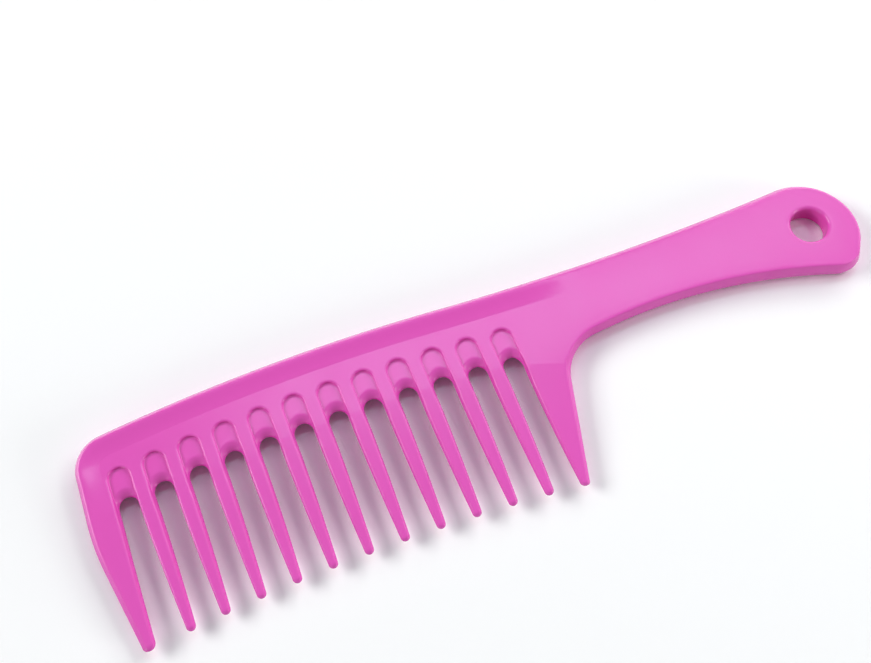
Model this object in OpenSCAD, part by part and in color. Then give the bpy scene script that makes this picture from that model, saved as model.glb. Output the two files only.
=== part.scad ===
// Wide-tooth detangling comb with a hanging eye, in millimetres.
// It lies flat: +X runs along the back to the handle end, the teeth point to -Y, +Z is up.
// The origin is at the middle of the box that it fills, on the surface that it lies on.
// Both faces are alike, so every solid mirrors about the plane at half the thickness.

/* [Overall] */
// Height from the tips of the guard teeth to the crest of the back
height = 66.5; // [62:0.5:74]
// Full thickness, at the rim and along the handle
thickness = 7; // [6:0.25:9]
// Radius of the bow that the back, the arches and the tips all follow
bow_radius = 588; // [500:4:900]
// How far the rounding of the outer edges reaches in from the outline
edge_reach = 2.0; // [1.5:0.1:2.7]

/* [Head] */
// Thickness of the thin plate that carries the teeth
plate_thickness = 4.9; // [4:0.1:5.8]
// Width of the rim along the back, from its edge to the foot of its flank
rim_width = 7.6; // [6:0.1:8.6]
// Width of the full-thickness top of the rim, before its flank falls to the plate
rim_crown = 2.8; // [2.7:0.1:4]
// Radius of the front corner in plan
front_radius = 10; // [9:0.25:13]
// Distance along the back from one gap to the next
root_pitch = 10.53; // [10:0.01:11]
// Width of a gap at its closed end
gap_width = 5.65; // [4.5:0.05:6]
// Distance from the back edge down to the top of each arched channel
arch_setback = 12.15; // [11:0.05:14]
// Length of the web from the top of its channel to the closed end of the gap
web_length = 8.7; // [7:0.1:10]
// Thickness of the web that is left between the channels of the two faces
web_thickness = 3; // [2:0.1:3.8]
// Width of each arched channel
channel_width = 6.16; // [5.9:0.02:7]

/* [Teeth] */
// Distance from one tip to the next, a little less than at the roots
tip_pitch = 10.41; // [10:0.01:10.6]
// How far the inner teeth's tips stand towards the handle from an even spread
tip_lead = 1.34; // [0:0.02:2]
// How far the front guard tooth's tip stands towards the handle from that spread
front_tip_lead = 0.4; // [0:0.05:1.5]
// How far the rear guard tooth's tip stands towards the handle from that spread
rear_tip_lead = 1.2; // [0:0.05:2]
// How much further the first inner tooth's tip stands towards the handle
first_tip_lead = 0.6; // [0:0.05:1]
// Width of an inner tooth just above its rounded tip
tooth_tip_width = 2.65; // [2:0.05:3.4]
// Thickness of a tooth just above its rounded tip
tooth_tip_thickness = 2.5; // [2:0.1:3.5]
// How far the rounding of a tooth's long edges reaches in
tooth_edge_reach = 1.1; // [0.6:0.05:1.25]
// Width of the front guard tooth at its root
front_guard_width = 9.55; // [8.5:0.05:12]
// Distance below the front guard tooth's root of the corner that the bend in its side rounds
front_bend_drop = 7.85; // [4:0.05:12]
// Width of the rear guard tooth beside the notch
rear_guard_width = 10.85; // [9:0.05:13]
// Width of the front guard tooth just above its rounded tip
front_tip_width = 3.7; // [2.4:0.1:4.4]
// Width of the rear guard tooth just above its rounded tip
rear_tip_width = 2.8; // [2.4:0.1:3.6]

/* [Handle] */
// Length from the last gap between the teeth to the end of the handle
handle_length = 110.97; // [100:0.01:125]
// Distance that the back edge of the handle's waist lies below the crest
waist_drop = 3.8; // [3:0.05:4.5]
// Distance from the middle of the notch's curve along to the waist
waist_reach = 18.4; // [13:0.1:26]
// Width of the handle at its waist
waist_width = 20.5; // [18:0.05:23]
// Radius of the notch between the rear guard tooth and the handle
notch_radius = 14.1; // [10:0.1:16]
// Length over which the thin plate thickens into the handle
shoulder_length = 28; // [20:0.5:36]
// Extra width of the rim where it fades out into the handle
rim_spread = 1.2; // [0:0.1:2]

/* [Eye] */
// Radius of the rounded end of the handle
eye_radius = 16.7; // [15:0.1:17.5]
// Radius of the tighter corner on the teeth side of the end
toe_radius = 7.1; // [6:0.1:9]
// How far that corner stands out from the rounded end
toe_stand = 0.6; // [0.3:0.05:1.4]
// Length of the eye, from the end of the handle to where the plain grip starts
eye_length = 31; // [28:0.5:34]
// Radius of the hanging hole
hole_radius = 5.5; // [4:0.1:6.5]
// Rounding of both mouths of the hole
hole_lip = 1; // [0.5:0.05:1.5]
// Distance from the end of the handle to the middle of the hole
hole_inset = 14.9; // [13:0.1:17]
// How far the hole sits from the middle of the rounded end towards the back
hole_raise = 1.35; // [0.5:0.05:2.5]

/* [Hidden] */
comb_pink = [0.89, 0.38, 0.76];
gap_count = 12;
tooth_count = gap_count + 1;
first_inner = 2;

// How finely curves are drawn
round_steps = 4;
back_steps = 26;
corner_steps = 10;
side_steps = 5;
tooth_steps = 8;
tip_steps = 4;
bend_steps = 6;
grip_steps = 18;
$fn = 64;

// How far a cut runs past the face that it opens
overrun = 1;
// Part of the thickness that stays upright at the outline, as the parting land of the mould
land_share = 0.12;
tooth_land_share = 0.2;
// Part of an edge's reach over which its sloping side rounds over to the face
crease_share = 0.4;
// Depth of the hollow in the rim's flank, as a part of its rise
flank_hollow_share = 0.12;
// How much of the first inner tooth's extra lead each next tooth keeps
next_lead_share = 0.3;
// How fast a tooth narrows: over 1 keeps it fuller near its root
tooth_taper_power = 1.75;
// Turn of each channel about the closed end of its gap, in line with the leaning teeth
channel_turn = 2;
// Direction in which the front edge faces
front_way = 180;
// Direction, from the middle of the rounded end, of its tighter corner
toe_angle = -52;
// Place on the notch, as an angle from its middle, where the rear guard tooth begins
guard_seam_angle = 150;
// Gap between the plate's last channel and the seam with the handle
seam_margin = 1;

half = thickness / 2;
half_plate = plate_thickness / 2;
half_web = web_thickness / 2;
length = front_guard_width + gap_width + (gap_count - 1) * root_pitch + handle_length;
x_front = -length / 2;
x_end = length / 2;
y_crest = height / 2;

// The bow of the head, and the middle of its row of gaps
first_gap_x = x_front + front_guard_width + gap_width / 2;
head_mid = first_gap_x + (gap_count - 1) / 2 * root_pitch;
bow_centre = [head_mid, y_crest - bow_radius];
function bow(x) = sqrt(bow_radius ^ 2 - (x - head_mid) ^ 2) - bow_radius;
function gap_x(gap) = first_gap_x + (gap - 1) * root_pitch;
function gap_end(gap) = [gap_x(gap),
    y_crest - arch_setback - web_length - gap_width / 2 + bow(gap_x(gap))];
last_gap = gap_end(gap_count);

// The back edge: the bow, then a hollow curve that touches it and is lowest at the waist
notch_x = last_gap[0] + gap_width / 2 + rear_guard_width + notch_radius;
waist_x = notch_x + waist_reach;
waist_back = y_crest - waist_drop;
waist_span = waist_x - head_mid;
back_radius = (waist_span ^ 2 + waist_drop ^ 2) / (2 * waist_drop) - bow_radius;
back_centre = [waist_x, waist_back + back_radius];
bow_end_x = head_mid + waist_span * bow_radius / (bow_radius + back_radius);
function back_y(x) = x < bow_end_x
    ? y_crest + bow(x)
    : back_centre[1] - sqrt(back_radius ^ 2 - (x - waist_x) ^ 2);

// The front corner, which touches the front edge and the bow
corner_x = x_front + front_radius;
corner_centre = [corner_x,
    bow_centre[1] + sqrt((bow_radius - front_radius) ^ 2 - (corner_x - head_mid) ^ 2)];
corner_angle = atan2(corner_centre[1] - bow_centre[1], corner_centre[0] - bow_centre[0]);

// The rounded end, which touches the back edge, and its tighter corner
eye_x = x_end - eye_radius;
eye_centre = [eye_x,
    back_centre[1] - sqrt((back_radius + eye_radius) ^ 2 - (eye_x - waist_x) ^ 2)];
toe_centre = eye_centre
    + (eye_radius + toe_stand - toe_radius) * [cos(toe_angle), sin(toe_angle)];
hole_centre = [x_end - hole_inset, eye_centre[1] + hole_raise];
eye_seam_x = x_end - eye_length;

// The lower edge of the handle: one hollow curve from the toe to the waist
waist_low = waist_back - waist_width;
toe_side = toe_centre[0] - waist_x;
toe_lift = toe_centre[1] - waist_low;
grip_radius = (toe_side ^ 2 + toe_lift ^ 2 - toe_radius ^ 2) / (2 * (toe_radius - toe_lift));
grip_centre = [waist_x, waist_low - grip_radius];

// The notch, which touches the grip's curve from below
notch_centre = [notch_x,
    grip_centre[1] + sqrt((grip_radius - notch_radius) ^ 2 - (notch_x - waist_x) ^ 2)];
notch_end_angle = atan2(notch_centre[1] - grip_centre[1], notch_x - waist_x);
notch_end_x = notch_x + notch_radius * cos(notch_end_angle);
guard_seam = notch_centre + notch_radius * [cos(guard_seam_angle), sin(guard_seam_angle)];
seam_slope = (guard_seam[1] - last_gap[1]) / (guard_seam[0] - last_gap[0]);
function seam_y(x) = last_gap[1] + seam_slope * (x - last_gap[0]);
function low_y(x) = x < guard_seam[0] ? seam_y(x)
    : x < notch_end_x ? notch_centre[1] + sqrt(notch_radius ^ 2 - (x - notch_x) ^ 2)
    : grip_centre[1] + sqrt(grip_radius ^ 2 - (x - waist_x) ^ 2);
// How much longer a step up the page is than the same step square to the lower edge
function low_stretch(x) =
    let (at = max(x, guard_seam[0]))
    at < notch_end_x ? notch_radius / (low_y(at) - notch_centre[1])
    : grip_radius / (low_y(at) - grip_centre[1]);
plate_seam_x = last_gap[0] + channel_width / 2 + seam_margin;

// The tips, on the same bow as the back
function tip_x(tooth) = head_mid + (tooth - (tooth_count + 1) / 2) * tip_pitch;
function tip_y(tooth) = -height / 2 + bow(tip_x(tooth)) - bow(tip_x(1));

// Rounding and thickness
function clamp(value) = max(0, min(1, value));
function smooth(value) = let (v = clamp(value)) v * v * (3 - 2 * v);
// An edge's side slopes in from the land at the outline, then rounds over to the face.
function edge(distance, reach, land) =
    let (left = reach - max(distance, 0), rounding = reach * crease_share,
        slope = (1 - land) / (reach - rounding / 2))
    left <= 0 ? 1
    : left < rounding ? 1 - slope * left ^ 2 / (2 * rounding)
    : 1 - slope * (left - rounding / 2);
function edge_offsets(reach) = concat([0], [for (step = [1:round_steps])
    reach * (1 - crease_share * (round_steps - step) / (round_steps - 1))]);
function backwards(list) = [for (i = [len(list) - 1:-1:0]) list[i]];
function mix(a, b, share) = a + (b - a) * share;
function on_circle(centre, radius, angle) = centre + radius * [cos(angle), sin(angle)];

// The face: thin plate, a flank up to the rim, and the slow rise of the shoulder
function rise_to_handle(x) = smooth((x - plate_seam_x) / shoulder_length);
function rim_foot(x) = rim_width + rim_spread * rise_to_handle(x);
function flank(distance, foot) =
    let (run = clamp((foot - distance) / (foot - rim_crown)))
    run - flank_hollow_share * 4 * run * (1 - run);
function face(x, from_back) = half_plate
    + (half - half_plate) * (1 - (1 - rise_to_handle(x)) * (1 - flank(from_back, rim_foot(x))));
function rim_offsets(x) = concat(edge_offsets(edge_reach),
    [rim_crown, mix(rim_crown, rim_foot(x), 1 / 2), rim_foot(x)]);

// A solid over a strip of plan: sections run one way, points across them the other way,
// counter-clockwise seen from above. Each point holds its height over the middle plane.
module lens(sections) {
    rows = len(sections);
    across = len(sections[0]);
    last = across - 1;
    low = rows * across;
    flat = [for (section = sections) each section];
    points = concat([for (p = flat) [p[0], p[1], half + p[2]]],
        [for (p = flat) [p[0], p[1], half - p[2]]]);
    faces = [for (i = [0:rows - 2]) let (a = i * across, b = a + across) each concat(
        [for (j = [0:last - 1]) each [
            [a + j, a + j + 1, b + j + 1], [a + j, b + j + 1, b + j],
            [low + a + j, low + b + j + 1, low + a + j + 1],
            [low + a + j, low + b + j, low + b + j + 1]]],
        [[a, b, low + b], [a, low + b, low + a],
            [a + last, low + b + last, b + last], [a + last, low + a + last, low + b + last]])];
    first_cap = concat([for (j = [last:-1:0]) j], [for (j = [0:last]) low + j]);
    last_cap = concat([for (j = [0:last]) low - across + j],
        [for (j = [last:-1:0]) 2 * low - across + j]);
    polyhedron(points, concat(faces, [first_cap, last_cap]));
}

// A solid from closed rings, one above the other, counter-clockwise seen from above
module stack(rings) {
    count = len(rings[0]);
    faces = [for (level = [0:len(rings) - 2]) for (i = [0:count - 1])
        let (next = (i + 1) % count, low = level * count, up = low + count)
        each [[up + i, up + next, low + next], [up + i, low + next, low + i]]];
    top = (len(rings) - 1) * count;
    polyhedron([for (ring = rings) each ring], concat(faces,
        [[for (i = [0:count - 1]) i], [for (i = [count - 1:-1:0]) top + i]]));
}

// The rim's path as [edge point, direction inwards, how much of the rim's rise is left]
function back_path() = [for (step = [0:back_steps])
    let (x = mix(plate_seam_x, corner_x, step / back_steps)) [[x, back_y(x)], [0, -1], 1]];
function corner_path() = [for (step = [0:corner_steps])
    let (angle = mix(corner_angle, front_way, step / corner_steps))
    [on_circle(corner_centre, front_radius, angle), -[cos(angle), sin(angle)],
        1 - smooth(step / corner_steps) / 2]];
function side_path() = [for (step = [1:side_steps])
    let (y = mix(corner_centre[1], gap_end(1)[1], step / side_steps))
    [[x_front, y], [1, 0], (1 - smooth(step / side_steps)) / 2]];
rim_path = concat(back_path(), corner_path(), side_path());

module spine() {
    color(comb_pink) lens([for (stop = rim_path) [for (offset = rim_offsets(plate_seam_x))
        let (at = stop[0] + offset * stop[1],
            rise = (half - half_plate) * stop[2] * flank(offset, rim_width))
        [at[0], at[1], (half_plate + rise) * edge(offset, edge_reach, land_share)]]]);
}

// One gap's cut in the plate: a channel in each face and the rounded end of the web
module gap_cut(gap) {
    end = gap_end(gap);
    reach = arch_setback + web_length;
    straight = web_length + gap_width / 2 - channel_width / 2;
    translate([end[0], end[1], half]) rotate(channel_turn) {
        for (side = [0, 1]) mirror([0, 0, side]) translate([0, 0, half_web])
            linear_extrude(half_plate - half_web + overrun) {
                translate([0, straight]) circle(channel_width / 2);
                translate([-channel_width / 2, -reach]) square([channel_width, reach + straight]);
            }
        intersection() {
            rotate_extrude() difference() {
                translate([0, -half_web]) square([gap_width / 2 + half_web, web_thickness]);
                translate([gap_width / 2 + half_web, 0]) circle(half_web);
            }
            cube([channel_width, 2 * reach, web_thickness], center = true);
        }
    }
}

module head_plate() {
    inner = [for (stop = rim_path) stop[0] + rim_width * stop[1]];
    roots = [for (gap = [1:gap_count]) gap_end(gap)];
    color(comb_pink) difference() {
        translate([0, 0, half - half_plate]) linear_extrude(plate_thickness)
            polygon(concat(inner, roots, [[plate_seam_x, seam_y(plate_seam_x)]]));
        for (gap = [1:gap_count]) gap_cut(gap);
    }
}

// Places across a tooth as shares of its width, with the part of the full height at each.
// ends holds the rounding at each end as [reach, land].
function across_tooth(width, ends) =
    let (fits = [for (end = ends) min(end[0], width / 2)])
    concat([for (o = edge_offsets(fits[0])) [o / width, edge(o, fits[0], ends[0][1])]],
        [[1 / 2, 1]],
        backwards([for (o = edge_offsets(fits[1])) [1 - o / width, edge(o, fits[1], ends[1][1])]]));

// A row of points across a tooth, from end a to end b, rounded alike along both edges
function tooth_row(a, b, height_at, reach) =
    [for (place = across_tooth(norm(b - a), [[reach, tooth_land_share], [reach, tooth_land_share]]))
        let (at = mix(a, b, place[0])) [at[0], at[1], height_at * place[1]]];

// The rounded end that closes a tooth below its last full row
function tip_rows(centre, radius, tip_height) = [for (step = [1:tip_steps])
    let (angle = 90 * step / (tip_steps + 1 / 2), reach = radius * cos(angle),
        y = centre[1] - radius * sin(angle))
    tooth_row([centre[0] - reach, y], [centre[0] + reach, y], tip_height * cos(angle),
        tooth_edge_reach * cos(angle))];

// An inner tooth between two gaps: it narrows and thins from its root to its tip
module inner_tooth(tooth) {
    left = gap_end(tooth - 1);
    right = gap_end(tooth);
    root = (left + right) / 2;
    tilt = atan2(right[1] - left[1], right[0] - left[0]);
    root_width = norm(right - left) - gap_width;
    radius = tooth_tip_width / 2;
    lead = tip_lead + first_tip_lead * next_lead_share ^ (tooth - first_inner);
    tip = [tip_x(tooth) + lead, tip_y(tooth) + radius];
    rows = [for (step = [0:tooth_steps])
        let (t = step / tooth_steps, angle = tilt * (1 - t),
            width = mix(root_width, tooth_tip_width, t ^ tooth_taper_power),
            arm = width / 2 * [cos(angle), sin(angle)], middle = mix(root, tip, t))
        tooth_row(middle - arm, middle + arm, mix(half_plate, tooth_tip_thickness / 2, t),
            tooth_edge_reach)];
    color(comb_pink) lens(backwards(concat(rows, tip_rows(tip, radius, tooth_tip_thickness / 2))));
}

// A guard tooth between an outer side, given as points from its root to its tip, and an inner
// side from inner_root that leans in slowly, then more. side is 1 where the outer one is at +X.
function guard_rows(outer, inner_root, tip, radius, side) =
    let (inner_tip = tip - [side * radius, 0], last = len(outer) - 1)
    [for (i = [0:last]) let (t = i / last, inner = [
            mix(inner_root[0], inner_tip[0], t ^ tooth_taper_power), mix(inner_root[1], inner_tip[1], t)],
        outside = [mix(edge_reach, radius, t), mix(land_share, tooth_land_share, t)],
        inside = [tooth_edge_reach, tooth_land_share])
        side > 0 ? guard_row(inner, outer[i], [inside, outside], t)
        : guard_row(outer[i], inner, [outside, inside], t)];

// A row across a guard tooth, each point as high as the comb's face there, thinning to the tip
function guard_row(a, b, ends, t) =
    [for (place = across_tooth(norm(b - a), ends))
        let (at = mix(a, b, place[0]), root_height = face(at[0], back_y(at[0]) - at[1]))
        [at[0], at[1], mix(root_height, tooth_tip_thickness / 2, t) * place[1]]];

// Points of an outer side: round the bend, then straight to the tip, evenly spread
function bent_side(centre, radius, start, end, tip_point) =
    let (bend_end = on_circle(centre, radius, end))
    concat([for (step = [0:bend_steps]) on_circle(centre, radius, mix(start, end, step / bend_steps))],
        [for (step = [1:tooth_steps]) mix(bend_end, tip_point, step / tooth_steps)]);

module front_guard_tooth() {
    radius = front_tip_width / 2;
    tip = [tip_x(1) + front_tip_lead, tip_y(1) + radius];
    root = [x_front, gap_end(1)[1]];
    away = root - [0, front_bend_drop] - tip;
    normal = atan2(away[1], away[0]) + acos(radius / norm(away));
    bend_radius = front_bend_drop / tan((normal - front_way) / 2);
    outer = bent_side(root + [bend_radius, 0], bend_radius, front_way, normal,
        on_circle(tip, radius, normal));
    inner_root = gap_end(1) - [gap_width / 2, 0];
    color(comb_pink) lens(backwards(concat(guard_rows(outer, inner_root, tip, radius, -1),
        tip_rows(tip, radius, tooth_tip_thickness / 2))));
}

module rear_guard_tooth() {
    radius = rear_tip_width / 2;
    tip = [tip_x(tooth_count) + rear_tip_lead, tip_y(tooth_count) + radius];
    away = notch_centre - tip;
    normal = atan2(away[1], away[0]) - acos((notch_radius + radius) / norm(away));
    outer = bent_side(notch_centre, notch_radius, guard_seam_angle, normal + 180,
        on_circle(tip, radius, normal));
    inner_x = last_gap[0] + gap_width / 2;
    inner_root = [inner_x, seam_y(inner_x)];
    color(comb_pink) lens(backwards(concat(guard_rows(outer, inner_root, tip, radius, 1),
        tip_rows(tip, radius, tooth_tip_thickness / 2))));
}

// A row of points across the handle at one place along it, from its lower edge to its back
function handle_row(x) =
    let (bottom = low_y(x), top = back_y(x), stretch = low_stretch(x),
        lower = [for (o = edge_offsets(edge_reach)) bottom + o * stretch],
        upper = [for (o = backwards(rim_offsets(x))) top - o],
        start = lower[round_steps], end = upper[0])
    [for (y = concat(lower, [mix(start, end, 1 / 3), mix(start, end, 2 / 3)], upper))
        let (from_notch = norm([x, y] - notch_centre) - notch_radius,
            from_grip = norm([x, y] - grip_centre) - grip_radius,
            from_low = x < notch_end_x ? from_notch : from_grip)
        [x, y, face(x, top - y) * edge(min(from_low, top - y), edge_reach, land_share)]];

module handle() {
    beside_guard = [for (step = [0:side_steps - 1])
        mix(plate_seam_x, guard_seam[0], step / side_steps)];
    round_notch = [for (step = [0:corner_steps - 1])
        let (angle = mix(guard_seam_angle, notch_end_angle, step / corner_steps))
        notch_x + notch_radius * cos(angle)];
    along_grip = [for (step = [0:grip_steps]) mix(notch_end_x, eye_seam_x, step / grip_steps)];
    color(comb_pink) lens([for (x = concat(beside_guard, round_notch, along_grip)) handle_row(x)]);
}

// The outline of the eye as [point, direction inwards], from its seam round to its seam
toe_grip = atan2(grip_centre[1] - toe_centre[1], grip_centre[0] - toe_centre[0]);
toe_turn = toe_angle + acos((eye_radius - toe_radius) / norm(toe_centre - eye_centre));
eye_back = atan2(back_centre[1] - eye_centre[1], back_centre[0] - eye_centre[0]);
function arc_stops(centre, radius, start, end, steps) = [for (step = [0:steps])
    let (angle = mix(start, end, step / steps))
    [on_circle(centre, radius, angle), -[cos(angle), sin(angle)]]];
function low_stops() = [for (step = [0:side_steps - 1])
    let (x = mix(eye_seam_x, toe_centre[0] + toe_radius * cos(toe_grip), step / side_steps))
    [[x, low_y(x)], [0, low_stretch(x)]]];
function back_stops() = [for (step = [side_steps - 1:-1:0])
    let (x = mix(eye_seam_x, eye_x + eye_radius * cos(eye_back), step / side_steps))
    [[x, back_y(x)], [0, -1]]];
eye_outline = concat(low_stops(), arc_stops(toe_centre, toe_radius, toe_grip, toe_turn, corner_steps),
    arc_stops(eye_centre, eye_radius, toe_turn, eye_back, 2 * corner_steps), back_stops());

module hang_eye() {
    offsets = edge_offsets(edge_reach);
    levels = concat([for (o = backwards(offsets)) [o, -half * edge(o, edge_reach, land_share)]],
        [for (o = offsets) [o, half * edge(o, edge_reach, land_share)]]);
    color(comb_pink) difference() {
        stack([for (level = levels) [for (stop = eye_outline)
            let (at = stop[0] + level[0] * stop[1]) [at[0], at[1], half + level[1]]]]);
        translate([hole_centre[0], hole_centre[1], half]) {
            cylinder(h = thickness + overrun, r = hole_radius, center = true);
            for (side = [0, 1]) mirror([0, 0, side]) rotate_extrude() difference() {
                translate([0, half - hole_lip]) square([hole_radius + hole_lip, hole_lip + overrun]);
                translate([hole_radius + hole_lip, half - hole_lip]) circle(hole_lip);
            }
        }
    }
}

spine();
head_plate();
handle();
hang_eye();
front_guard_tooth();
rear_guard_tooth();
inner_tooth(2);  // tooth_02
inner_tooth(3);  // tooth_03
inner_tooth(4);  // tooth_04
inner_tooth(5);  // tooth_05
inner_tooth(6);  // tooth_06
inner_tooth(7);  // tooth_07
inner_tooth(8);  // tooth_08
inner_tooth(9);  // tooth_09
inner_tooth(10);  // tooth_10
inner_tooth(11);  // tooth_11
inner_tooth(12);  // tooth_12
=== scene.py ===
"""A pink wide-tooth comb with a hanging eye, lying on a white table under soft light."""
import math

import bpy
import numpy as np
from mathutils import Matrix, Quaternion, Vector


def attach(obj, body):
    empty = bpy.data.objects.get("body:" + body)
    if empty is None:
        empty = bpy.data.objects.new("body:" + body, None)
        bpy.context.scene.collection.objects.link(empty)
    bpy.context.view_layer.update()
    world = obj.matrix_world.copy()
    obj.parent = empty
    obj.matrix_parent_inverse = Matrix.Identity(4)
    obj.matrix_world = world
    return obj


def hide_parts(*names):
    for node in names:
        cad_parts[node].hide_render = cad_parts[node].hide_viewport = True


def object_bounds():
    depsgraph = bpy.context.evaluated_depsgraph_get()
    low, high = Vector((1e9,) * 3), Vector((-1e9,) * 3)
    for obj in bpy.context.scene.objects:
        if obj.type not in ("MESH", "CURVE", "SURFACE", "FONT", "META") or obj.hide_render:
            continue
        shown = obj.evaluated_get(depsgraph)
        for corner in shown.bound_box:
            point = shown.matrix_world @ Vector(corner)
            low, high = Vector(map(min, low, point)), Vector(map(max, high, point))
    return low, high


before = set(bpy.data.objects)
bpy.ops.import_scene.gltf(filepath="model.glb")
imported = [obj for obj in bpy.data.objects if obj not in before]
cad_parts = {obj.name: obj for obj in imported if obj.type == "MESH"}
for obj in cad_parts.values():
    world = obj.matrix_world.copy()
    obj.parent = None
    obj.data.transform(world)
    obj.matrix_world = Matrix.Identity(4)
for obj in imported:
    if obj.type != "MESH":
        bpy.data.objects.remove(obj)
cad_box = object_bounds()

MM = 0.001
BODY = "root"

# Sizes of the comb in millimetres, as in the part's source
height = 66.5
thickness = 7
bow_radius = 588
edge_reach = 2.0
plate_thickness = 4.9
rim_width = 7.6
rim_crown = 2.8
front_radius = 10
root_pitch = 10.53
gap_width = 5.65
arch_setback = 12.15
web_length = 8.7
web_thickness = 3
channel_width = 6.16
tip_pitch = 10.41
tip_lead = 1.34
front_tip_lead = 0.4
rear_tip_lead = 1.2
first_tip_lead = 0.6
tooth_tip_width = 2.65
tooth_tip_thickness = 2.5
front_guard_width = 9.55
front_bend_drop = 7.85
rear_guard_width = 10.85
front_tip_width = 3.7
rear_tip_width = 2.8
handle_length = 110.97
waist_drop = 3.8
waist_reach = 18.4
waist_width = 20.5
notch_radius = 14.1
shoulder_length = 28
rim_spread = 1.2
eye_radius = 16.7
toe_radius = 7.1
toe_stand = 0.6
eye_length = 31
hole_radius = 5.5
hole_lip = 1
hole_inset = 14.9
hole_raise = 1.35
gap_count = 12
tooth_count = gap_count + 1
land_share = 0.12
tooth_land_share = 0.2
flank_hollow_share = 0.12
next_lead_share = 0.3
first_inner = 2
tooth_taper_power = 1.75
channel_turn = math.radians(2)
toe_angle = math.radians(-52)
guard_seam_angle = math.radians(150)
seam_margin = 1

# Finer forms than the plain solids hold, in millimetres, shares and powers
wall_lean = 0.14
wall_foot = [(0.06, 0.03), (0.09, 0.08), (0.11, 0.15), (0.125, 0.23), (0.135, 0.46)]
wall_first_turn_share = 0.12
wall_turns = 8
wall_rounding = 0.6
wall_round_share = 0.5
wall_margin = 0.08
channel_turn_gain = 4
fine_tooth_reach = 1.05
web_end_stretch = 1.1
web_end_bevel = 0.6
edge_roll = 0.6
tooth_roll = 0.6
tooth_roll_drop = 0.09
roll_drop = 0.052
wall_power = 1.12
reach_lean = 0.55
crown_softness = 0.9
foot_softness = 0.25
softening_samples = 9
handle_crown = 0.12
handle_crown_span = 10.4
step_fade = 6.0

# How finely the meshes are cut and joined, in counts, millimetres, shares and powers
sharp_angle = math.radians(52)
weld_steps_per_mm = 1e4
least_height = 1e-4
near_miss = 1e-9
least_cross, least_run = 1e-12, 1e-6
edge_steps = 10
slope_steps = 20
crown_row_before, crown_row_after = 0.05, 0.15
foot_row_far, foot_row_near = 0.25, 0.1
side_stops, arch_stops, roll_steps = 22, 17, 18
side_spacing, roll_spacing = 1.15, 1.35
ledge_steps = 4
guard_face_steps = 8
handle_face_steps = 14
handle_flank_steps = 16
handle_flank_shares = (0.04, 1.03)
beside_steps, notch_steps, grip_steps = 24, 40, 110
eye_side_steps, toe_steps, eye_end_steps = 30, 60, 140
lip_steps, eye_edge_steps, eye_face_steps = 9, 12, 12
eye_row_stretch = 1.12
eye_lean_share = 0.45
seam_overrun = 8
tooth_sides, tooth_rows = 96, 118
tooth_body_share = 0.94
land_end, face_start = 0.18, 0.78
stepped_wall_share = 0.45
tooth_weld = 0.001

half = thickness / 2
half_plate = plate_thickness / 2
half_web = web_thickness / 2
tip_half = tooth_tip_thickness / 2
length = front_guard_width + gap_width + (gap_count - 1) * root_pitch + handle_length
x_front, x_end = -length / 2, length / 2
y_crest = height / 2
first_gap_x = x_front + front_guard_width + gap_width / 2
head_mid = first_gap_x + (gap_count - 1) / 2 * root_pitch
bow_centre = np.array([head_mid, y_crest - bow_radius])


def bow(x):
    """How far the bow of the head falls at x."""
    return np.sqrt(bow_radius ** 2 - (x - head_mid) ** 2) - bow_radius


def gap_end(gap):
    """Middle of the round closed end of a gap."""
    x = first_gap_x + (gap - 1) * root_pitch
    return np.array([x, y_crest - arch_setback - web_length - gap_width / 2 + bow(x)])


def on_circle(centre, radius, angle):
    return np.array(centre) + radius * np.array([math.cos(angle), math.sin(angle)])


def direction(vector):
    return math.atan2(vector[1], vector[0])


last_gap = gap_end(gap_count)
notch_x = last_gap[0] + gap_width / 2 + rear_guard_width + notch_radius
waist_x = notch_x + waist_reach
waist_back = y_crest - waist_drop
waist_span = waist_x - head_mid
back_radius = (waist_span ** 2 + waist_drop ** 2) / (2 * waist_drop) - bow_radius
back_centre = np.array([waist_x, waist_back + back_radius])
bow_end_x = head_mid + waist_span * bow_radius / (bow_radius + back_radius)


def back_y(x):
    """The back edge: the bow of the head, then the hollow curve over the waist."""
    x = np.asarray(x, float)
    on_bow = y_crest + bow(np.minimum(x, bow_end_x))
    hollow = back_centre[1] - np.sqrt(back_radius ** 2 - (x - waist_x) ** 2)
    return np.where(x < bow_end_x, on_bow, hollow)


corner_x = x_front + front_radius
corner_centre = np.array([corner_x, bow_centre[1]
                          + math.sqrt((bow_radius - front_radius) ** 2 - (corner_x - head_mid) ** 2)])
corner_angle = direction(corner_centre - bow_centre)
eye_x = x_end - eye_radius
eye_centre = np.array([eye_x, back_centre[1]
                       - math.sqrt((back_radius + eye_radius) ** 2 - (eye_x - waist_x) ** 2)])
toe_centre = on_circle(eye_centre, eye_radius + toe_stand - toe_radius, toe_angle)
hole_centre = np.array([x_end - hole_inset, eye_centre[1] + hole_raise])
eye_seam_x = x_end - eye_length
waist_low = waist_back - waist_width
toe_side, toe_lift = toe_centre[0] - waist_x, toe_centre[1] - waist_low
grip_radius = (toe_side ** 2 + toe_lift ** 2 - toe_radius ** 2) / (2 * (toe_radius - toe_lift))
grip_centre = np.array([waist_x, waist_low - grip_radius])
notch_centre = np.array([notch_x, grip_centre[1]
                         + math.sqrt((grip_radius - notch_radius) ** 2 - (notch_x - waist_x) ** 2)])
notch_end_angle = direction(notch_centre - grip_centre)
notch_end_x = notch_x + notch_radius * math.cos(notch_end_angle)
guard_seam = on_circle(notch_centre, notch_radius, guard_seam_angle)
seam_slope = (guard_seam[1] - last_gap[1]) / (guard_seam[0] - last_gap[0])
plate_seam_x = last_gap[0] + channel_width / 2 + seam_margin


def seam_y(x):
    return last_gap[1] + seam_slope * (x - last_gap[0])


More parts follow.
